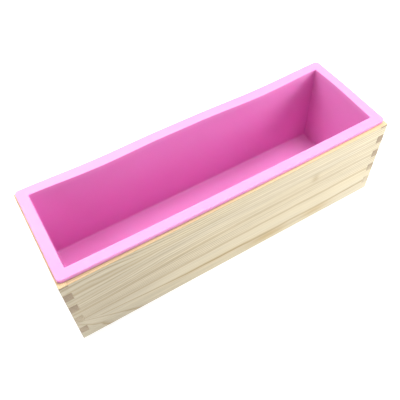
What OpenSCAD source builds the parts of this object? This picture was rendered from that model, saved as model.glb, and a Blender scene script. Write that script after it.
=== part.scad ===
// Soap loaf mould: a finger-jointed pine box with a lift-out silicone liner.
// Millimetres, +X along the box, +Y to the back, +Z up. The origin is the
// middle of the footprint, on the surface that the box stands on.

/* [Wooden box] */
// Length outside, over the end boards
box_l = 280; // [200:1:400]
// Width outside, over the long boards
box_w = 90; // [70:1:150]
// Height of the boards, from the surface to the rim
box_h = 81.5; // [60:0.5:120]
// Thickness of all four boards
board_t = 6.5; // [5:0.5:10]
// Radius that the outer bottom edges are eased to
edge_r = 2; // [0.5:0.5:2.5]

/* [Finger joints] */
// Height of one finger
finger_h = 8.6; // [5:0.1:15]
// Height of the long boards' lowest finger, which covers the floor groove
first_finger_h = 10.4; // [9:0.1:14]
// Room for glue above and below each finger
glue_gap = 0.05; // [0:0.05:0.2]

/* [Bottom panel] */
// Thickness of the plywood panel
panel_t = 3; // [2:0.5:4]
// Height of the panel's underside above the surface
panel_z = 3; // [2.5:0.5:4]
// How deep the groove goes into each board
groove_depth = 3; // [2:0.5:4]
// Room between the panel's edges and the foot of the groove
panel_edge_play = 0.3; // [0.1:0.1:0.5]
// Room above the panel in its groove
panel_top_play = 0.2; // [0.1:0.1:0.4]

/* [Silicone liner] */
// Thickness of the liner's walls
liner_wall = 2.4; // [1.5:0.1:4]
// Thickness of the liner's floor
liner_floor = 2.4; // [1.5:0.1:4]
// Room between the liner and each end board, at the rim
liner_end_play = 0.3; // [0.3:0.1:1]
// Room between the liner and each long board, at the rim
liner_side_play = 1.4; // [0.3:0.1:2]
// Room between the liner's underside and the bottom panel
liner_floor_play = 0.3; // [0.3:0.1:1]
// Angle that the walls lean in towards the floor, in degrees
draft = 0.9; // [0:0.1:1.5]
// Width of the flat flange round the opening
flange_w = 8; // [7:0.5:9]
// Thickness of the flange
flange_t = 3.4; // [2:0.1:5]
// Radius of the flange's outer corners
flange_r = 3; // [1:0.5:6]

/* [Hidden] */
$fn = 64;
PINE = "#ead9b4";
PLYWOOD = "#d9bf8e";
SILICONE = "#e67fc4";

// Runs a cut clear of the face that it starts from
overrun = 1;

// The hollow inside the boards
inner_l = box_l - 2 * board_t;
inner_w = box_w - 2 * board_t;

// [bottom, top] of each finger of the end boards; the top one is cut off by the rim
END_FINGERS = [
    for (z = first_finger_h; z < box_h; z = z + 2 * finger_h)
        [z, min(z + finger_h, box_h)]
];

// [bottom, top] of each finger of the long boards, which fill the heights between
LONG_FINGERS = [
    [0, first_finger_h],
    for (f = END_FINGERS) if (f[1] < box_h) [f[1], min(f[1] + finger_h, box_h)]
];

// The liner, from the rim down
liner_top = box_h + flange_t;
liner_bottom = panel_z + panel_t + liner_floor_play;
opening_l = inner_l - 2 * (liner_end_play + liner_wall);
opening_w = inner_w - 2 * (liner_side_play + liner_wall);

// A rectangle with its two lower corners rounded, standing on the X axis
module eased_outline(w, h, r) {
    translate([-w / 2, r]) square([w, h - r]);
    translate([-w / 2 + r, 0]) square([w - 2 * r, h]);
    for (side = [-1, 1])
        translate([side * (w / 2 - r), r]) circle(r);
}

// The finished outside of the wooden box: square at the rim, eased along the bottom edges
module box_envelope() {
    intersection() {
        rotate([90, 0, 0])
            linear_extrude(box_w, center = true)
                eased_outline(box_l, box_h, edge_r);
        rotate([90, 0, 90])
            linear_extrude(box_l, center = true)
                eased_outline(box_w, box_h, edge_r);
    }
}

// The cuts that let the other boards' fingers through one corner of a board.
// Each reaches `depth` in from the corner along X and Y
module finger_sockets(fingers, depth) {
    for (f = fingers) {
        low = f[0] > 0 ? f[0] - glue_gap : -overrun;
        high = f[1] < box_h ? f[1] + glue_gap : box_h + overrun;
        translate([-overrun, -overrun, low])
            cube([depth[0] + overrun, depth[1] + overrun, high - low]);
    }
}

// The groove ring that holds the bottom panel, cut into all four boards.
// It stops inside the corners, so no end of it shows outside
module panel_groove() {
    translate([-inner_l / 2 - groove_depth, -inner_w / 2 - groove_depth, panel_z])
        cube([
            inner_l + 2 * groove_depth,
            inner_w + 2 * groove_depth,
            panel_t + panel_top_play
        ]);
}

// The front board: full length, with sockets at both ends for the end boards' fingers
module long_board() {
    intersection() {
        difference() {
            translate([-box_l / 2, -box_w / 2, 0])
                cube([box_l, board_t, box_h]);
            for (end = [0, 1])
                mirror([end, 0, 0])
                    translate([-box_l / 2, -box_w / 2, 0])
                        finger_sockets(END_FINGERS, [board_t, board_t + overrun]);
            panel_groove();
        }
        box_envelope();
    }
}

// The left end board: full width, with sockets at both ends for the long boards' fingers
module end_board() {
    intersection() {
        difference() {
            translate([-box_l / 2, -box_w / 2, 0])
                cube([board_t, box_w, box_h]);
            for (end = [0, 1])
                mirror([0, end, 0])
                    translate([-box_l / 2, -box_w / 2, 0])
                        finger_sockets(LONG_FINGERS, [board_t + overrun, board_t]);
            panel_groove();
        }
        box_envelope();
    }
}

module front_board() {
    color(PINE) long_board();
}

module back_board() {
    color(PINE) mirror([0, 1, 0]) long_board();
}

module left_end_board() {
    color(PINE) end_board();
}

module right_end_board() {
    color(PINE) mirror([1, 0, 0]) end_board();
}

// The plywood bottom, loose in the groove ring and resting on its lower face
module bottom_panel() {
    reach = groove_depth - panel_edge_play;
    color(PLYWOOD)
        translate([-inner_l / 2 - reach, -inner_w / 2 - reach, panel_z])
            cube([inner_l + 2 * reach, inner_w + 2 * reach, panel_t]);
}

// A trapezium whose sides lean in by the draft as they go down from the liner's top.
// `w` is its width at the liner's top, and it runs from height `low` to height `high`
module drafted_outline(w, low, high) {
    function half(z) = w / 2 - (liner_top - z) * tan(draft);
    polygon([
        [-half(low), low], [half(low), low],
        [half(high), high], [-half(high), high]
    ]);
}

// A block with four drafted walls, `l` by `w` at the liner's top
module drafted_block(l, w, low, high) {
    intersection() {
        rotate([90, 0, 0])
            linear_extrude(w + 2 * overrun, center = true)
                drafted_outline(l, low, high);
        rotate([90, 0, 90])
            linear_extrude(l + 2 * overrun, center = true)
                drafted_outline(w, low, high);
    }
}

// A flat plate with rounded corners, standing on z = 0
module rounded_plate(l, w, h, r) {
    linear_extrude(h) {
        square([l - 2 * r, w], center = true);
        square([l, w - 2 * r], center = true);
        for (x = [-1, 1], y = [-1, 1])
            translate([x * (l / 2 - r), y * (w / 2 - r)]) circle(r);
    }
}

// The moulded liner: a drafted tub that hangs by its flange from the box's rim
module silicone_liner() {
    color(SILICONE)
        difference() {
            union() {
                drafted_block(
                    opening_l + 2 * liner_wall, opening_w + 2 * liner_wall,
                    liner_bottom, box_h + flange_t / 2
                );
                translate([0, 0, box_h])
                    rounded_plate(
                        opening_l + 2 * flange_w, opening_w + 2 * flange_w,
                        flange_t, flange_r
                    );
            }
            drafted_block(
                opening_l, opening_w,
                liner_bottom + liner_floor, liner_top + overrun
            );
        }
}

front_board();
back_board();
left_end_board();
right_end_board();
bottom_panel();
silicone_liner();
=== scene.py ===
# %% [markdown]
# # A soap loaf mould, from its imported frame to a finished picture
#
# The object is a long pine box with finger-jointed corners, and a pink silicone tub that hangs in it
# by a flat flange. Soap is poured into the tub, and tub and soap are lifted out together.
#
# The CAD model fixes where everything is and how large it is. This file makes what the eye judges:
# the soft, slightly wavy silicone, and pine with its growth rings, fibres and end grain.
# It can be run cell by cell in Blender 4.5.

# %% Load the frame
import math

import bmesh
import bpy
import numpy as np
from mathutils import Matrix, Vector


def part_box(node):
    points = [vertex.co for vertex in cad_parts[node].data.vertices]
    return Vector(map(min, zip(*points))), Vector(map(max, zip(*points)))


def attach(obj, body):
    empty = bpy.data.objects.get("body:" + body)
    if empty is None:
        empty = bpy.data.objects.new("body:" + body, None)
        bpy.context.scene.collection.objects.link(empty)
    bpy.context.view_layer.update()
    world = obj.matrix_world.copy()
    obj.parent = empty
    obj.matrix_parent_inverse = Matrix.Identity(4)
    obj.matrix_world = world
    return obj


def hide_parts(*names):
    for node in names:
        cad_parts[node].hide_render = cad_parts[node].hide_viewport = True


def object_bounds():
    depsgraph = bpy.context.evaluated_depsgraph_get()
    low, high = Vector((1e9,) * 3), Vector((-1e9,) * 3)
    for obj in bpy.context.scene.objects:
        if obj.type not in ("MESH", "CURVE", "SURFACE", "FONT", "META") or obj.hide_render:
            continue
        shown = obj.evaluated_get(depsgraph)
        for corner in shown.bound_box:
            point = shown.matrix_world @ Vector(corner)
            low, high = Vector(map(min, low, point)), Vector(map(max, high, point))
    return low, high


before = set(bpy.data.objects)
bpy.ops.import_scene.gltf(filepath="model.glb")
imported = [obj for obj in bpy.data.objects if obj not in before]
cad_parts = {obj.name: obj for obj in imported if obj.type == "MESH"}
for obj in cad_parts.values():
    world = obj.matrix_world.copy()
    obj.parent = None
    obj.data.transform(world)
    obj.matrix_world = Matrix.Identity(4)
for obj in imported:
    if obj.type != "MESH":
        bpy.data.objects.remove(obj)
cad_low, cad_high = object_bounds()

# %% [markdown]
# ## Small helpers
#
# Sizes of small things are easiest to think of in millimetres, while Blender's scene is in metres,
# so one factor turns the one into the other.
# Colours are written as the hex values that a screen shows. Blender computes with linear light,
# so one function undoes the screen's curve.

# %% Units and colours
MM = 0.001


def linear(hex_colour):
    """A screen colour as linear light: each channel c becomes ((c + 0.055) / 1.055) to the power 2.4."""
    screen = np.array([int(hex_colour[i : i + 2], 16) for i in (1, 3, 5)]) / 255
    light = np.where(screen <= 0.04045, screen / 12.92, ((screen + 0.055) / 1.055) ** 2.4)
    return (*light.tolist(), 1.0)


print("mid grey on screen is", round(linear("#808080")[0], 3), "in linear light")

# %% [markdown]
# A material is a tree of nodes. Most of the work is adding a node, setting it and linking its inputs,
# so one function does those three things for every kind of node.
# An input is given as a number, a colour, or another node, whose first output is then linked.


# %% Nodes, materials and objects
def add(tree, kind, inputs=None, **settings):
    """Adds one shader node. Settings are its own properties, and inputs go by name or number."""
    made = tree.nodes.new("ShaderNode" + kind)
    for name, value in settings.items():
        setattr(made, name, value)
    for name, value in (inputs or {}).items():
        if isinstance(value, bpy.types.Node):
            value = value.outputs[0]
        if isinstance(value, bpy.types.NodeSocket):
            tree.links.new(value, made.inputs[name])
        else:
            made.inputs[name].default_value = value
    return made


def blank_material(name):
    """A material with an empty node tree."""
    made = bpy.data.materials.new(name)
    made.use_nodes = True
    made.node_tree.nodes.clear()
    return made, made.node_tree


def place_in_mm(tree):
    """Object coordinates divided by one millimetre."""
    place = add(tree, "TexCoord").outputs["Object"]
    return add(tree, "VectorMath", {0: place, "Scale": 1 / MM}, operation="SCALE")


def in_scene(name, data):
    """An object of a mesh, light or camera, linked to the scene."""
    made = bpy.data.objects.new(name, data)
    bpy.context.scene.collection.objects.link(made)
    return made


# %% [markdown]
# ## Camera
#
# The camera stands high in front of the box's left end and looks steeply down, turned to the right so
# that the box runs across the picture from the lower left to the upper right. The lens is close to
# the 50 mm that is often called normal, and the camera is rolled by about two degrees.

# %% Camera
CAMERA_AT = np.array([-133.35, -225.69, 375.77]) * MM
CAMERA_TURN_DEG = (37.018, 1.446, -30.756)
LENS_MM = 46.22

camera = in_scene("camera", bpy.data.cameras.new("camera"))
camera.data.lens = LENS_MM
camera.location = CAMERA_AT
camera.rotation_euler = [math.radians(a) for a in CAMERA_TURN_DEG]
bpy.context.scene.camera = camera
print("camera", round(float(np.linalg.norm(CAMERA_AT)), 3), "m from the middle of the footprint")

# %% [markdown]
# ## The silicone tub
#
# The real tub is one moulding: a floor, four walls that lean in a little so that it leaves its mould,
# and a flat flange. It could be modelled as a box with insets and bevels, but every edge of it has its
# own radius, and the walls sag between the corners. So it is worked out as one surface with two
# parameters: how far round the tub a point is, and how far along the cross-section.
#
# The cross-section runs from the middle of the floor up the inner wall, over the flange, and
# down the outer wall to the middle of the underside. It is written as distances outward from the
# opening's edge, so that one list serves all four sides.

# %% Sizes of the tub
tub_low, tub_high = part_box("silicone_liner")
RIM_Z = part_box("front_board")[1].z
WALL = 2.4 * MM
FLOOR = 2.4 * MM
FLANGE = 8.0 * MM
LEAN = math.tan(math.radians(0.9))
FLANGE_LIFT = 0.03 * MM  # keeps the flange's underside and the rim from sharing one plane

opening_half = np.array([tub_high.x, tub_high.y]) - FLANGE
tub_depth = tub_high.z - tub_low.z
print("opening, mm:", (2 * opening_half / MM).round(1), "depth, mm:", round((tub_depth - FLOOR) / MM, 1))


# %% A line with rounded corners
def rounded_line(corners, radii, arc_steps, gap, most):
    """
    A line through the corners with each inner corner rounded by its own radius. A corner's arc
    touches both sides at radius / tan(half the corner's angle) from the corner. Straight stretches
    get a point `gap` from each end, so that shading stays flat, and no step between points is
    over `most`.
    """
    corners = np.array(corners, float)
    pieces = [corners[:1]]
    for before, corner, after, radius in zip(corners, corners[1:], corners[2:], radii):
        back = (before - corner) / np.linalg.norm(before - corner)
        ahead = (after - corner) / np.linalg.norm(after - corner)
        half_angle = math.acos(float(np.clip(back @ ahead, -1, 1))) / 2
        inward = back + ahead
        centre = corner + inward / np.linalg.norm(inward) * radius / math.sin(half_angle)
        first = corner + back * radius / math.tan(half_angle) - centre
        last = corner + ahead * radius / math.tan(half_angle) - centre
        share = np.linspace(0, 1, arc_steps + 1)[:, None]
        turn = math.pi - 2 * half_angle
        arc = (np.sin((1 - share) * turn) * first + np.sin(share * turn) * last) / math.sin(turn)
        pieces.append(centre + arc)
    pieces.append(corners[-1:])
    line = [pieces[0]]
    for end, start in zip(pieces, pieces[1:]):
        a, b = end[-1], start[0]
        length = np.linalg.norm(b - a)
        steps = max(1, math.ceil((length - 2 * gap) / most))
        at = np.linspace(gap, length - gap, steps + 1) / length
        line += [a + (b - a) * at[:, None], start]
    return np.concatenate(line)


# %% Cross-section
middle = -opening_half[1]
floor_z = tub_low.z + FLOOR
under_z = RIM_Z + FLANGE_LIFT
# each corner of the cross-section: (distance out from the opening's edge, height)
SECTION = [
    (middle, floor_z),
    (-LEAN * (tub_high.z - floor_z), floor_z),
    (0, tub_high.z),
    (FLANGE, tub_high.z),
    (FLANGE, under_z),
    (WALL - LEAN * (tub_high.z - under_z), under_z),
    (WALL - LEAN * tub_depth, tub_low.z),
    (middle, tub_low.z),
]
# the foot inside, the opening's edge, the flange's upper and lower edges, under it, the foot outside
SECTION_RADII = np.array([1.6, 0.6, 0.5, 0.35, 0.7, 2.2]) * MM
section = rounded_line(SECTION, SECTION_RADII, arc_steps=5, gap=0.35 * MM, most=5 * MM)
print("cross-section of", len(section), "points")

# %% Round the tub
CROWDING = 0.4  # 0 spaces a side's points evenly, and 1 crowds them most at the corners
# how far out from the opening's edge a point is, and the plan radius of its corner there
CORNER_OUT = np.array([-3 * MM, 0, WALL, FLANGE])
CORNER_RADII = np.array([1.4, 0.9, 3, 3]) * MM


def ring_template(side_steps, end_steps, arc_steps):
    """
    The parameters of a rounded rectangle, once round: each point is its corner's centre, given as a
    share of the centre rectangle's half sides, plus a radius in a direction. Along a straight side the
    direction stays and the share moves, and round a corner the share stays and the direction turns.
    """
    corners = np.array([(1, -1), (1, 1), (-1, 1), (-1, -1)], float)
    share, turn = [], []
    for k, steps in enumerate((end_steps, side_steps, end_steps, side_steps)):
        start, end = corners[k], corners[(k + 1) % 4]
        even = np.linspace(0, 1, steps, endpoint=False)
        crowded = 0.5 - 0.5 * np.cos(np.pi * even)
        along = (1 - CROWDING) * even + CROWDING * crowded
        share.append(start + (end - start) * along[:, None])
        turn.append(np.full(steps, k * math.pi / 2))
        share.append(np.repeat(end[None], arc_steps, 0))
        turn.append(k * math.pi / 2 + np.linspace(0, math.pi / 2, arc_steps, endpoint=False))
    return np.concatenate(share), np.concatenate(turn)


share, turn = ring_template(side_steps=130, end_steps=40, arc_steps=6)
half = opening_half + section[:, :1]
radius = np.interp(section[:, 0], CORNER_OUT, CORNER_RADII)
radius = np.minimum(radius, half[:, 1].clip(0))[:, None]
tub = np.stack(
    [
        share[:, 0] * (half[:, :1] - radius) + radius * np.cos(turn),
        share[:, 1] * (half[:, 1:] - radius) + radius * np.sin(turn),
        np.repeat(section[:, 1:], len(share), 1),
    ],
    axis=-1,
)
print("tub grid", tub.shape)

# %% [markdown]
# ### How silicone sags
#
# Silicone this thick holds its shape only at the corners. Between them the long back wall sags into
# the tub in two shallow waves, and the flange follows it. The front wall bows out a little,
# and the right end bulges. The sag fades towards the floor, which holds the walls apart.
# A sculpting brush could do this by hand, but a few humps added to the grid can be changed again.

# %% Sizes of the waves
# Places, reaches and depths are in mm.
WAVES_GROW = (12, 80)  # heights between which the waves grow from nothing to their full depth
WALL_STARTS = (5, 30)  # distances from the box's middle line over which a long wall's wave comes in
END_STARTS = (100, 130)  # the same for the right end, along the box
BACK_OUT, BACK_ENDS_OUT, BACK_ENDS = 0.2, 1.1, 133  # out in the middle, more at the ends, their place
BACK_HOLLOWS = ((-75, 54, 1.5), (72, 62, 1.9))  # (place along the wall, reach, depth)
BACK_FLANGE_OUT = 0.45  # how much further out the flange's back edge stands
FRONT_OUT, FRONT_ENDS_IN, FRONT_ENDS = 0.25, 0.9, 128  # the same, with the ends drawn in
END_BULGE = (8, 34)  # (place across the box, reach)
END_BULGE_OUT = 0.8
END_DENT = (20, 36)  # distances towards the front over which the dent comes in
END_DENT_IN = 0.35
BACK_FLANGE_STAYS, END_FLANGE_STAYS = 0.35, 0.5  # shares of a wave that the flange's edge leaves out
FLANGE_FREE = 4.5  # distance out from the opening past which the flange can lift
FLANGE_WAVES = ((-30, 50), (105, 35))  # (place along the flange, reach)
FLANGE_WAVE_HEIGHT = 0.12
print("hollows in the back wall, mm deep:", [depth for place, reach, depth in BACK_HOLLOWS])


# %% Humps and steps
def hump(x, centre, reach):
    """A raised cosine: 1 at the centre, falling smoothly to 0 at `reach` on either side."""
    return 0.5 + 0.5 * np.cos(np.pi * np.clip((x - centre) / reach, -1, 1))


def smooth(x, low, high):
    """0 below low, 1 above high, and 3t^2 - 2t^3 between them."""
    t = np.clip((x - low) / (high - low), 0, 1)
    return t * t * (3 - 2 * t)


# %% Waves in the walls
x, y, z = tub[..., 0] / MM, tub[..., 1] / MM, tub[..., 2] / MM
out = section[:, :1] / MM
grown = smooth(z, *WAVES_GROW)
outer = smooth(out, 0, FLANGE / MM)

# The back wall stands out more towards its ends, less one hump for each hollow.
back = BACK_OUT + BACK_ENDS_OUT * (x / BACK_ENDS) ** 4
for centre, reach, depth in BACK_HOLLOWS:
    back = back - depth * hump(x, centre, reach)
follows = 1 - BACK_FLANGE_STAYS * outer
tub[..., 1] += MM * grown * smooth(y, *WALL_STARTS) * (back * follows + BACK_FLANGE_OUT * outer)

# The front wall is a shallow parabola, out in the middle and in at its ends.
front = FRONT_ENDS_IN * (x / FRONT_ENDS) ** 2 - FRONT_OUT
tub[..., 1] += MM * grown * smooth(-y, *WALL_STARTS) * front

# The right end has one hump and a slight dent towards the front.
right = END_BULGE_OUT * hump(y, *END_BULGE) - END_DENT_IN * smooth(-y, *END_DENT)
tub[..., 0] += MM * grown * smooth(x, *END_STARTS) * right * (1 - END_FLANGE_STAYS * outer)

# The flange's outer part lifts off the rim by a hair in two places.
lifted = smooth(out, FLANGE_FREE, FLANGE / MM) * (z > RIM_Z / MM - 1)
waves = sum(hump(x, centre, reach) for centre, reach in FLANGE_WAVES)
tub[..., 2] += MM * lifted * FLANGE_WAVE_HEIGHT * waves
print("back wall sags by up to", round(float(-back.min()), 1), "mm")

# %% [markdown]
# ### From a grid to a mesh
#
# A grid of points becomes a mesh when each four neighbours are joined into a face. The last column
# joins on to the first, which closes the tub all the way round. The first and the last ring are folded
# flat along the middle of the floor, and merging doubled points closes them too.

# %% Grid to mesh
MERGE_WITHIN = 0.01 * MM


def grid_object(name, points, material, body):
    """A closed surface from a grid that wraps round, whose first and last rings are folded flat."""
    rows, columns = points.shape[:2]
    row, column = np.meshgrid(np.arange(rows - 1), np.arange(columns), indexing="ij")
    beside = (column + 1) % columns
    here, above = row * columns, (row + 1) * columns
    faces = np.stack([here + column, here + beside, above + beside, above + column], axis=-1)
    mesh = bpy.data.meshes.new(name)
    mesh.from_pydata(points.reshape(-1, 3).tolist(), [], faces.reshape(-1, 4).tolist())
    tidy = bmesh.new()
    tidy.from_mesh(mesh)
    bmesh.ops.remove_doubles(tidy, verts=tidy.verts, dist=MERGE_WITHIN)
    bmesh.ops.recalc_face_normals(tidy, faces=tidy.faces)
    open_edges = sum(not e.is_manifold for e in tidy.edges)
    tidy.to_mesh(mesh)
    tidy.free()
    mesh.shade_smooth()
    mesh.materials.append(material)
    made = in_scene(name, mesh)
    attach(made, body)
    print(name, len(mesh.polygons), "faces,", open_edges, "open edges")
    return made


# %% [markdown]
# ### Silicone rubber
#
# It is a translucent rubber with pink pigment stirred in. Light goes a few millimetres into it,
# so edges glow and shadows inside the tub are soft and strongly coloured. Subsurface scattering gives
# this, where a plain diffuse pink would look like painted card. Moulded silicone has a satin skin
# that is never quite even. Its IOR is about 1.41.

# %% Silicone material
SILICONE_TINTS = ("#E28BC8", "#E792CE")
# painted sheen: the flange's paler pink stands in for the whitish sheen of light on its top
FLANGE_PAINTED_SHEEN = "#E89DD2"
SHEEN_PAINT_FADE = 2 * MM  # how far above and below the rim the walls' tint blends into the flange's painted sheen
SKIN_HOLLOW = 0.7 * MM
PATCH_SIZE = 40 * MM


def silicone():
    """
    Moulded satin silicone. A broad noise sets both the gloss and a slight change of tint, the tint
    turns across the rim's height to the flange's paler one, which is a painted sheen, and a fine noise is
    the skin's relief.
    """
    material, tree = blank_material("pink_satin_silicone")
    place = add(tree, "TexCoord").outputs["Object"]
    # a skin of faint hollows, which spreads each highlight into a satin sheen
    skin = add(tree, "TexNoise", {"Vector": place, "Scale": 1 / SKIN_HOLLOW, "Detail": 2.0})
    # broad patches that are a little glossier or duller than the rest
    patch = add(tree, "TexNoise", {"Vector": place, "Scale": 1 / PATCH_SIZE, "Detail": 3.0})
    gloss = add(tree, "MapRange", {0: patch, "To Min": 0.40, "To Max": 0.52})
    low, high = map(linear, SILICONE_TINTS)
    walls = add(tree, "Mix", {0: patch, 6: low, 7: high}, data_type="RGBA").outputs[2]
    # painted sheen: the flange gets a paler, less strongly coloured pink than the walls, for the light on
    # its top
    height = add(tree, "SeparateXYZ", {0: place}).outputs[2]
    across = {"From Min": RIM_Z - SHEEN_PAINT_FADE, "From Max": RIM_Z + SHEEN_PAINT_FADE}
    share = add(tree, "MapRange", {0: height, **across})
    tint = add(tree, "Mix", {0: share, 6: walls, 7: linear(FLANGE_PAINTED_SHEEN)}, data_type="RGBA").outputs[2]
    bump = add(tree, "Bump", {"Height": skin, "Strength": 0.25, "Distance": 0.03 * MM})
    inputs = {
        "Base Color": tint,
        "Roughness": gloss,
        "Normal": bump,
        "IOR": 1.41,
        "Subsurface Weight": 0.5,
        "Subsurface Radius": (1.0, 0.5, 0.7),
        "Subsurface Scale": 3.0 * MM,
    }
    add(tree, "OutputMaterial", {"Surface": add(tree, "BsdfPrincipled", inputs)})
    return material


tub_piece = grid_object("silicone_tub", tub, silicone(), "liner")
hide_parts("silicone_liner")

# %% [markdown]
# ## The pine box
#
# The CAD boards already have the right outline, fingers and grooves. Real edges are never
# perfectly sharp, though, and it is the tiny broken edge that catches light and draws each joint as a
# fine line. So each board is a copy of its CAD node, merged into whole faces, with a bevel far smaller
# than the fingers.

# %% Boards with broken edges
SAME_POINT = 0.002 * MM
SAME_FACE = math.radians(1)
SHARP_EDGE = math.radians(40)
BOARD_EDGE = 0.25 * MM
PANEL_EDGE = 0.15 * MM


def softened(node, name, material, body, width):
    """A merged copy of a CAD node whose sharp edges are rounded over `width`."""
    shape = bmesh.new()
    shape.from_mesh(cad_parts[node].data)
    bmesh.ops.remove_doubles(shape, verts=shape.verts, dist=SAME_POINT)
    bmesh.ops.dissolve_limit(shape, angle_limit=SAME_FACE, verts=shape.verts, edges=shape.edges)
    mesh = bpy.data.meshes.new(name)
    shape.to_mesh(mesh)
    shape.free()
    mesh.shade_smooth()
    mesh.materials.clear()
    mesh.materials.append(material)
    made = in_scene(name, mesh)
    bevel = made.modifiers.new("broken_edges", "BEVEL")
    bevel.width = width
    bevel.segments = 2
    bevel.limit_method = "ANGLE"
    bevel.angle_limit = SHARP_EDGE
    bevel.use_clamp_overlap = False
    bevel.harden_normals = True
    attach(made, body)
    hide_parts(node)
    print(name, len(mesh.polygons), "faces before the bevel")
    return made


# %% [markdown]
# ### Pine
#
# Pine grows a wide pale band each spring and a thin, harder, browner band each summer. A saw
# cuts through these rings at a shallow angle, so on a board's face they show as long lines that follow
# the tree's growth: level along a straight stretch, and squeezed together and swept aside near a branch.
# On an end they are cut across, and show as short slanting lines in darker, greyer wood, because the
# cut fibres soak up light.
#
# One field describes all of this: the height at which a point's ring would lie if the tree had been
# straight. The nodes start with the real height, tilt it through the board's thickness, add slow
# waves, and add a swelling wherever the rings are pushed aside. Everything is worked out in a
# board's own directions, so that one set of nodes serves boards that run along the box and across it.


# %% Directions in a board
def board_point(tree, grain):
    """
    Object coordinates in mm, turned so that X runs along the fibres, Y is the depth under the
    outer face and Z is the height.
    """
    axes = add(tree, "SeparateXYZ", {0: place_in_mm(tree)})
    along, across = (0, 1) if grain == "X" else (1, 0)
    distance = add(tree, "Math", {0: axes.outputs[across]}, operation="ABSOLUTE")
    depth = add(tree, "Math", {0: cad_high[across] / MM, 1: distance}, operation="SUBTRACT")
    return add(tree, "CombineXYZ", {0: axes.outputs[along], 1: depth, 2: axes.outputs[2]})


def streaks(tree, point, size, seed=0.0, detail=1.0):
    """Noise from 0 to 1 whose blotches are `size` mm long, deep and high."""
    stretched = add(tree, "VectorMath", {0: point, 1: [1 / s for s in size]}, operation="MULTIPLY")
    inputs = {"Vector": stretched, "W": seed, "Scale": 1.0, "Detail": detail}
    return add(tree, "TexNoise", inputs, noise_dimensions="4D")


def spot(tree, point, centre, reach):
    """A soft spot: e to the power of minus the squared distance, measured in `reach` along and up."""
    offset = add(tree, "VectorMath", {0: point, 1: (centre[0], 0, centre[1])}, operation="SUBTRACT")
    shrink = (1 / reach[0], 0, 1 / reach[1])
    scaled = add(tree, "VectorMath", {0: offset, 1: shrink}, operation="MULTIPLY")
    squared = add(tree, "VectorMath", {0: scaled, 1: scaled}, operation="DOT_PRODUCT").outputs["Value"]
    negative = add(tree, "Math", {0: squared, 1: -1.0}, operation="MULTIPLY")
    return add(tree, "Math", {0: negative}, operation="EXPONENT")


# %% [markdown]
# A colour ramp is a quick way to draw rings of uneven width: it reads the ring height, and each
# ring is four stops. A ring darkens slowly towards its summer wood and ends sharply,
# where the next spring begins. A ramp holds 32 stops, so it draws at most eight strong rings, and
# the many thin ones between them come from a sine whose strength changes with height.

# %% Ramp over height
RING_LOW, RING_HIGH = -20.0, 90.0  # mm of height that a ramp covers


def height_ramp(tree, field, stops):
    """A ramp over height through (height, level) stops."""
    share = add(tree, "MapRange", {0: field, "From Min": RING_LOW, "From Max": RING_HIGH})
    ramp = add(tree, "ValToRGB", {0: share})
    elements = ramp.color_ramp.elements
    while len(elements) < len(stops):
        elements.new(0.5)
    for element, (height, level) in zip(elements, stops):
        element.position = (height - RING_LOW) / (RING_HIGH - RING_LOW)
        element.color = (level, level, level, 1)
    return ramp


print("ramps cover heights from", RING_LOW, "to", RING_HIGH, "mm")


# %% Rings round a branch
def fan(tree, point, at, slope, level, gentle, steep):
    """
    Ring heights that fan out under a branch. They depend only on a point's slope, which is its
    distance below the branch over its distance along from it. They are `level` at `slope`, fall by
    `gentle` per unit of slope past it, and rise by `steep` per unit before it.
    """
    axes = add(tree, "SeparateXYZ", {0: point})
    below = add(tree, "Math", {0: at[1], 1: axes.outputs[2]}, operation="SUBTRACT")
    along = add(tree, "Math", {0: axes.outputs[0], 1: at[0]}, operation="SUBTRACT")
    here = add(tree, "Math", {0: below, 1: along}, operation="DIVIDE")
    past = add(tree, "Math", {0: here, 1: -slope})
    slow = add(tree, "Math", {0: past, 1: -gentle, 2: level}, operation="MULTIPLY_ADD")
    fast = add(tree, "Math", {0: past, 1: -steep, 2: level}, operation="MULTIPLY_ADD")
    return add(tree, "Math", {0: slow, 1: fast}, operation="MAXIMUM")


# %% Ring height
# Sizes of noise blotches are (along the fibres, deep, high) in mm. Most patterns add their own step
# to the board's seed, so that they don't follow each other.
TILT = 2.4  # mm that a ring climbs for each mm of depth
RING_WAVE = (110, 30, 26)
RING_RIPPLE = (26, 10, 9)
RIPPLE_HEIGHT = 1.0
FAN_BLEND = 2.0  # mm over which straight rings bend into the fan


def ring_height(tree, point, swellings, branch, wander, seed):
    """
    z + TILT * depth + slow waves of `wander` mm + ripples of RIPPLE_HEIGHT + one soft spot for each
    swelling (centre, reach, shift). On a board with a branch, it is the lower of that and the fan.
    """
    axes = add(tree, "SeparateXYZ", {0: point})
    slow = streaks(tree, point, RING_WAVE, seed)
    ripple = streaks(tree, point, RING_RIPPLE, seed + 3, detail=2.0)
    terms = [
        add(tree, "Math", {0: axes.outputs[1], 1: TILT}, operation="MULTIPLY"),
        add(tree, "Math", {0: slow, 1: 2 * wander, 2: -wander}, operation="MULTIPLY_ADD"),
        add(tree, "Math", {0: ripple, 1: 2 * RIPPLE_HEIGHT, 2: -RIPPLE_HEIGHT}, operation="MULTIPLY_ADD"),
    ]
    for centre, reach, shift in swellings:
        swelling = spot(tree, point, centre, reach)
        terms.append(add(tree, "Math", {0: swelling, 1: shift}, operation="MULTIPLY"))
    field = axes.outputs[2]
    for term in terms:
        field = add(tree, "Math", {0: field, 1: term}, operation="ADD")
    if branch:
        fanned = fan(tree, point, **branch)
        field = add(tree, "Math", {0: field, 1: fanned, 2: FAN_BLEND}, operation="SMOOTH_MIN")
    return field


# %% Ring darkness
# a strong ring as steps in mm from its dark line, and the share of its darkness at each
RING_PROFILE = ((-0.5, 0.0), (0.0, 1.0), (1.2, 0.4), (3.2, 0.0))
THIN_RING = 2.5  # mm from one thin ring to the next
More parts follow.
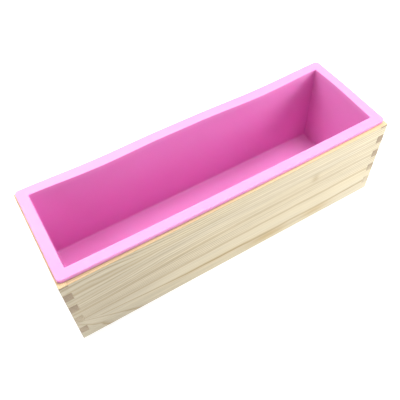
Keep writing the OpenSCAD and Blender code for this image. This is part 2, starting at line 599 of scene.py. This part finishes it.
# (height, strength) of the thin rings
THIN_STRENGTH = (
    (-20, 0.12),
    (10, 0.1),
    (28, 0.25),
    (34, 0.7),
    (47, 0.65),
    (52, 0.5),
    (66, 0.5),
    (71, 0.55),
)
FADED_PATCH = (120, 20, 7)  # the size of places where rings fade


def ring_darkness(tree, point, rings, swellings, branch, wander, seed):
    """
    How much summer wood a point has, from 0 to 1: the stronger of a ramp's rings (height, darkness)
    and a sine's thin ones. One noise fades the strong rings where it is high, and the thin where low.
    """
    field = ring_height(tree, point, swellings, branch, wander, seed)
    stops = [(h + step, dark * part) for h, dark in rings for step, part in RING_PROFILE]
    strong = height_ramp(tree, field, stops)
    phase = add(tree, "Math", {0: field, 1: 2 * math.pi / THIN_RING}, operation="MULTIPLY")
    wave = add(tree, "Math", {0: phase}, operation="SINE")
    thin = add(tree, "MapRange", {0: wave, "From Min": 0.1}, interpolation_type="SMOOTHSTEP")
    strength = height_ramp(tree, field, THIN_STRENGTH)
    thin = add(tree, "Math", {0: thin, 1: strength}, operation="MULTIPLY")

    patchy = streaks(tree, point, FADED_PATCH, seed + 7)
    keeps_thin = add(tree, "MapRange", {0: patchy, "From Min": 0.3, "From Max": 0.6, "To Min": 0.5})
    thin = add(tree, "Math", {0: thin, 1: keeps_thin}, operation="MULTIPLY")
    keeps_strong = add(tree, "MapRange", {0: patchy, "From Min": 0.62, "From Max": 0.38, "To Min": 0.75})
    strong = add(tree, "Math", {0: strong, 1: keeps_strong}, operation="MULTIPLY")
    return add(tree, "Math", {0: strong, 1: thin}, operation="MAXIMUM")


print("a strong ring fades over", RING_PROFILE[-1][0], "mm, and thin ones are", THIN_RING, "mm apart")

# %% [markdown]
# The boards are planed and left raw, so nothing fills the fibres: the wood is matt, and only the
# hard summer bands shine a little. Raw sapwood is a pale straw colour that is greyer in some places
# and more golden in others.

# %% Colours between the rings
STRAW = ("#E1D4B5", "#DCD2BA")
TONE_PATCH = (160, 30, 18)


def straw(tree, point, stains, seed):
    """
    The wood between the rings: a noise picks between two pale tones, and then each stain (centre,
    reach, colour, strength) is mixed in by its soft spot.
    """
    noise = streaks(tree, point, TONE_PATCH, seed + 11)
    tone = add(tree, "MapRange", {0: noise, "From Min": 0.3, "From Max": 0.7})
    first, second = map(linear, STRAW)
    pale = add(tree, "Mix", {0: tone, 6: first, 7: second}, data_type="RGBA").outputs[2]
    for centre, reach, colour, strength in stains:
        share = add(tree, "Math", {0: spot(tree, point, centre, reach), 1: strength}, operation="MULTIPLY")
        pale = add(tree, "Mix", {0: share, 6: pale, 7: linear(colour)}, data_type="RGBA").outputs[2]
    return pale


# %% Cut ends
END_WOOD = ("#AC9A82", "#86705A")
EVEN_ENDS = ((0, 0.6), (50, 0.95))  # (height, how much of the end colour shows)


def end_share(tree, grain, height, ends):
    """
    How much of the end colour a point shows, from 0 to 1: whether its face looks along the fibres,
    times the level that `ends` gives at its height.
    """
    normal = add(tree, "TexCoord").outputs["Normal"]
    fibres = (grain == "X", grain == "Y", 0)
    facing = add(tree, "VectorMath", {0: normal, 1: fibres}, operation="DOT_PRODUCT").outputs["Value"]
    facing = add(tree, "Math", {0: facing}, operation="ABSOLUTE")
    is_end = add(tree, "MapRange", {0: facing, "From Min": 0.6, "From Max": 0.9})
    return add(tree, "Math", {0: is_end, 1: height_ramp(tree, height, ends)}, operation="MULTIPLY")


# %% Fibres
# Real fibres are 0.03 mm across. They are drawn 0.7 mm across and 45 mm long, so that they show.
FIBRE = (45, 0.7, 0.7)
FIBRE_BUNDLE = (130, 5, 2.0)


def fibre_shade(tree, point, seed):
    """The fibres' own noise, and the shade it gives times that of the broader bundles they lie in."""
    fibre = streaks(tree, point, FIBRE, seed, detail=3.0)
    light = {"From Min": 0.3, "From Max": 0.7, "To Min": 0.87, "To Max": 1.09}
    shade = add(tree, "MapRange", {0: fibre, **light})
    bundle = streaks(tree, point, FIBRE_BUNDLE, seed + 5, detail=2.0)
    light = {"From Min": 0.35, "From Max": 0.62, "To Min": 0.93, "To Max": 1.02}
    bundle_shade = add(tree, "MapRange", {0: bundle, **light})
    return fibre, add(tree, "Math", {0: shade, 1: bundle_shade}, operation="MULTIPLY")


# %% Pine material
SUMMER_WOOD = "#9C7F4A"
# painted light: a warm tone on the rim stands in for pink light that passes through the silicone
RIM_PAINTED_GLOW = "#E3B87C"
RIM_GLOW_BAND = (0.8, 0.2)  # mm under the rim at which the painted glow starts and is full
RIM_GLOW_STRENGTH = 0.55


def pine(name, grain, rings, swellings, stains, wander, seed, branch=None, ends=EVEN_ENDS):
    """
    Planed raw pine whose fibres run along the X or Y axis: straw colour darkened by the rings, with a
    painted warm glow at the rim, greyer on cut ends, and then multiplied by the fibres' shade.
    """
    material, tree = blank_material(name)
    point = board_point(tree, grain)
    height = add(tree, "SeparateXYZ", {0: point}).outputs[2]
    dark = ring_darkness(tree, point, rings, swellings, branch, wander, seed)
    pale = straw(tree, point, stains, seed)
    wood = add(tree, "Mix", {0: dark, 6: pale, 7: linear(SUMMER_WOOD)}, data_type="RGBA").outputs[2]

    # painted light: a warm line along the top edge, just under the flange, for pink light passed on by the
    # silicone
    band = {"From Min": RIM_Z / MM - RIM_GLOW_BAND[0], "From Max": RIM_Z / MM - RIM_GLOW_BAND[1]}
    painted_rim_glow = add(tree, "MapRange", {0: height, **band, "To Max": RIM_GLOW_STRENGTH})
    wood = add(tree, "Mix", {0: painted_rim_glow, 6: wood, 7: linear(RIM_PAINTED_GLOW)}, data_type="RGBA").outputs[2]

    # cut ends are darker and greyer, with the rings faint in them
    first, second = map(linear, END_WOOD)
    end_wood = add(tree, "Mix", {0: dark, 6: first, 7: second}, data_type="RGBA").outputs[2]
    share = end_share(tree, grain, height, ends)
    wood = add(tree, "Mix", {0: share, 6: wood, 7: end_wood}, data_type="RGBA").outputs[2]

    fibre, shade = fibre_shade(tree, point, seed)
    shaded = add(tree, "VectorMath", {0: wood, "Scale": shade}, operation="SCALE")
    dull = add(tree, "MapRange", {0: dark, "To Min": 0.72, "To Max": 0.6})
    bump = add(tree, "Bump", {"Height": fibre, "Strength": 0.35, "Distance": 0.06 * MM})
    inputs = {"Base Color": shaded, "Roughness": dull, "Normal": bump, "IOR": 1.5}
    add(tree, "OutputMaterial", {"Surface": add(tree, "BsdfPrincipled", inputs)})
    return material


# %% [markdown]
# Each board came from another plank, so each has its own rings. On the front one the rings are
# squeezed together at the left and the lowest ones fan down to the edge, as they do beside a branch.
# Its left end is greyer and darker: a broad grey stain there is partly the wood's tone and partly painted
# shade for dimmer light. Three patches low down are golden, and a small knot shows faintly at the right.
# The back board has one larger knot.
#
# A ring is (height, darkness). All places and reaches are in mm: along the fibres from the board's
# middle, then up from the table.

# %% The front board
GOLD = "#C8AD78"
FRONT_WOOD = dict(
    grain="X",
    rings=(
        (-9, 0.75),
        (-2, 0.9),
        (15.5, 1.0),
        (31.5, 0.68),
        (49, 0.6),
        (54, 0.36),
        (62, 0.38),
        (68, 0.6),
    ),
    branch=dict(at=(-149, 35), slope=0.566, level=-2.0, gentle=13.9, steep=168),
    swellings=(
        ((-138, 47), (77, 19), 9.0),
        ((-122, 84), (50, 12), -7.5),
        ((-150, 12), (50, 11), -26.0),
        ((60, 10), (75, 12), 3.6),
        ((54, 12), (12, 5), -1.6),
        ((72, 57), (8, 5), 1.2),
    ),
    stains=(
        # partly painted shade: a broad grey stain that makes the left end greyer and also darker, for
        # dimmer light there
        ((-116, 42), (60, 90), "#B8AF9C", 0.52),
        ((30, 9), (20, 5), GOLD, 0.7),
        ((80, 9), (15, 4.5), GOLD, 0.6),
        ((-15, 15), (45, 3), GOLD, 0.45),
        ((72, 57), (3.4, 4.6), "#A58C62", 0.42),
    ),
    wander=0.6,
    seed=1.0,
)
print("front board:", len(FRONT_WOOD["rings"]), "strong rings,", len(FRONT_WOOD["stains"]), "stains")

# %% The back board
BACK_WOOD = dict(
    grain="X",
    rings=((6, 0.4), (19, 0.55), (27, 0.3), (40, 0.6), (52, 0.35), (63, 0.5), (76, 0.4)),
    swellings=(
        ((60, 30), (46, 12), 11.0),
        ((60, 52), (60, 16), -7.0),
        ((-90, 10), (60, 14), -9.0),
        ((62, 36), (5, 4), -14.0),
    ),
    stains=(((62, 36), (4.5, 3.4), "#8C6A45", 0.7), ((60, 40), (26, 9), "#CFB183", 0.4)),
    wander=3.0,
    seed=2.0,
)
print("back board:", len(BACK_WOOD["rings"]), "strong rings,", len(BACK_WOOD["stains"]), "stains")

# %% The end boards
LEFT_END_WOOD = dict(
    grain="Y",
    rings=((-6, 0.5), (9, 0.55), (22, 0.45), (34, 0.6), (47, 0.4), (58, 0.5), (70, 0.4)),
    swellings=(((8, 44), (34, 20), 15.0), ((-40, 14), (30, 14), -8.0)),
    stains=(((10, 66), (30, 10), "#D2B98C", 0.35),),
    wander=2.5,
    seed=3.0,
    ends=((20, 0.9), (26, 0.5), (38, 0.55), (43, 1.0)),
)
RIGHT_END_WOOD = dict(
    grain="Y",
    rings=((2, 0.4), (13, 0.5), (25, 0.4), (38, 0.55), (50, 0.35), (61, 0.5), (74, 0.45)),
    swellings=(((-14, 26), (36, 16), -12.0), ((30, 70), (30, 12), 6.0)),
    stains=(((-20, 22), (24, 10), "#D2B98C", 0.35),),
    wander=2.5,
    seed=4.0,
    ends=((20, 0.3), (28, 0.7), (52, 1.0)),
)
print("end boards:", [len(wood["rings"]) for wood in (LEFT_END_WOOD, RIGHT_END_WOOD)], "strong rings")

# %% The four boards
# node: (name of the piece, its wood)
BOARDS = {
    "front_board": ("pine_front_board", FRONT_WOOD),
    "back_board": ("pine_back_board", BACK_WOOD),
    "left_end_board": ("pine_left_end", LEFT_END_WOOD),
    "right_end_board": ("pine_right_end", RIGHT_END_WOOD),
}
for node, (piece, wood) in BOARDS.items():
    softened(node, piece, pine(f"planed_{piece}", **wood), "wooden_box", BOARD_EDGE)

# %% [markdown]
# ### Plywood
#
# The bottom is a thin plywood panel. Its face is a veneer peeled from a turning log, so its figure is
# broad and wandering, and much fainter than sawn pine's. It needs no ring field: one stretched and
# distorted noise gives the figure, and a finer one the fibres.

# %% Bottom panel
VENEER = ("#DFC79A", "#C9A972")
VENEER_FIGURE = (120, 14, 3)
VENEER_FIBRE = (30, 0.9, 0.9)


def plywood():
    """Sanded plywood: a broad noise mixes two tones, and a fine one shades them and is the relief."""
    material, tree = blank_material("sanded_plywood")
    place = place_in_mm(tree)
    stretch = [1 / s for s in VENEER_FIGURE]
    figure_at = add(tree, "VectorMath", {0: place, 1: stretch}, operation="MULTIPLY")
    figure = add(tree, "TexNoise", {"Vector": figure_at, "Scale": 1.0, "Detail": 3.0, "Distortion": 0.6})
    stretch = [1 / s for s in VENEER_FIBRE]
    fibre_at = add(tree, "VectorMath", {0: place, 1: stretch}, operation="MULTIPLY")
    fibre = add(tree, "TexNoise", {"Vector": fibre_at, "Scale": 1.0, "Detail": 3.0})
    first, second = map(linear, VENEER)
    tint = add(tree, "Mix", {0: figure, 6: first, 7: second}, data_type="RGBA").outputs[2]
    shade = add(tree, "MapRange", {0: fibre, "To Min": 0.88, "To Max": 1.08})
    shaded = add(tree, "VectorMath", {0: tint, "Scale": shade}, operation="SCALE")
    bump = add(tree, "Bump", {"Height": fibre, "Strength": 0.3, "Distance": 0.05 * MM})
    inputs = {"Base Color": shaded, "Roughness": 0.7, "Normal": bump}
    add(tree, "OutputMaterial", {"Surface": add(tree, "BsdfPrincipled", inputs)})
    return material


softened("bottom_panel", "plywood_bottom", plywood(), "wooden_box", PANEL_EDGE)

# %% [markdown]
# ## Floor
#
# A pale object can stand on a white acrylic table that is lit from below, so that it casts no
# shadow and its lower edge isn't lost in grey. One large plane whose material glows does the same
# here. Its colour by itself is only a light grey, and the glow brings it up to white.

# %% Table
TABLE_SIZE = 20000 * MM
TABLE_GLOW = 0.68


def acrylic_table():
    """Opal acrylic: matt, pale, and glowing by its own emission, as if lit from under it."""
    material, tree = blank_material("opal_acrylic")
    glow = {"Emission Color": (1, 1, 1, 1), "Emission Strength": TABLE_GLOW}
    shader = add(tree, "BsdfPrincipled", {"Base Color": linear("#BEBEBE"), "Roughness": 0.9, **glow})
    add(tree, "OutputMaterial", {"Surface": shader})
    return material


corners = np.array([(-1, -1, 0), (1, -1, 0), (1, 1, 0), (-1, 1, 0)]) * TABLE_SIZE / 2
table_mesh = bpy.data.meshes.new("table")
table_mesh.from_pydata(corners.tolist(), [], [(0, 1, 2, 3)])
table_mesh.materials.append(acrylic_table())
table = in_scene("table", table_mesh)
print("table", TABLE_SIZE, "m wide")

# %% [markdown]
# ## Light
#
# Two large softboxes, high behind the box and high beyond its right end, are the strongest.
# They light the flange most and leave the tub's walls in soft shade. A small one overhead
# brightens the tub's floor, one at the left lights that end, and one near the front right corner
# brightens the front board towards it, because light falls off with distance.
#
# The rest comes from the glowing table and from a pale wall all round. The wall fades into a nearly
# dark ceiling, so that it lights upright faces more than level ones. A world of even brightness
# would flatten the shading.

# %% Softboxes
AIM = Vector((30, 0, 50)) * MM
# name: (place in mm, side in mm, power in watts)
SOFTBOXES = {
    "behind": ((-40, 760, 820), 500, 5.7),
    "left": ((-400, 150, 450), 250, 1.8),
    "overhead": ((190, 50, 700), 250, 1.3),
    "overhead_right": ((390, 30, 1060), 500, 6.8),
    "front_right": ((450, -350, 300), 250, 2.25),
}


def softbox(name, place, side, watts):
    """A square area light that faces AIM. Its own Z axis points away from what it lights."""
    light = in_scene(name, bpy.data.lights.new(name, "AREA"))
    light.data.size = side * MM
    light.data.energy = watts
    light.location = Vector(place) * MM
    light.rotation_euler = (light.location - AIM).to_track_quat("Z", "Y").to_euler()


for name, (place, side, watts) in SOFTBOXES.items():
    softbox(name, place, side, watts)
print("softboxes:", ", ".join(SOFTBOXES))

# %% Wall and ceiling
WALL_TOP = (0.18, 0.5)  # sines of the angles at which the pale wall starts and stops fading out
WALL_GLOW = 0.8
CEILING_GLOW = 0.02

world = bpy.data.worlds.new("studio")
world.use_nodes = True
sky = world.node_tree
sky.nodes.clear()
direction = add(sky, "SeparateXYZ", {0: add(sky, "TexCoord").outputs["Generated"]})
fade = {"From Min": WALL_TOP[0], "From Max": WALL_TOP[1], "To Min": WALL_GLOW, "To Max": CEILING_GLOW}
strength = add(sky, "MapRange", {0: direction.outputs[2], **fade}, interpolation_type="SMOOTHSTEP")
backdrop = add(sky, "Background", {"Color": (1, 1, 1, 1), "Strength": strength})
add(sky, "OutputWorld", {"Surface": backdrop})
bpy.context.scene.world = world
bpy.context.scene.view_settings.view_transform = "Standard"
print("wall fades between", [round(math.degrees(math.asin(s))) for s in WALL_TOP], "degrees up")
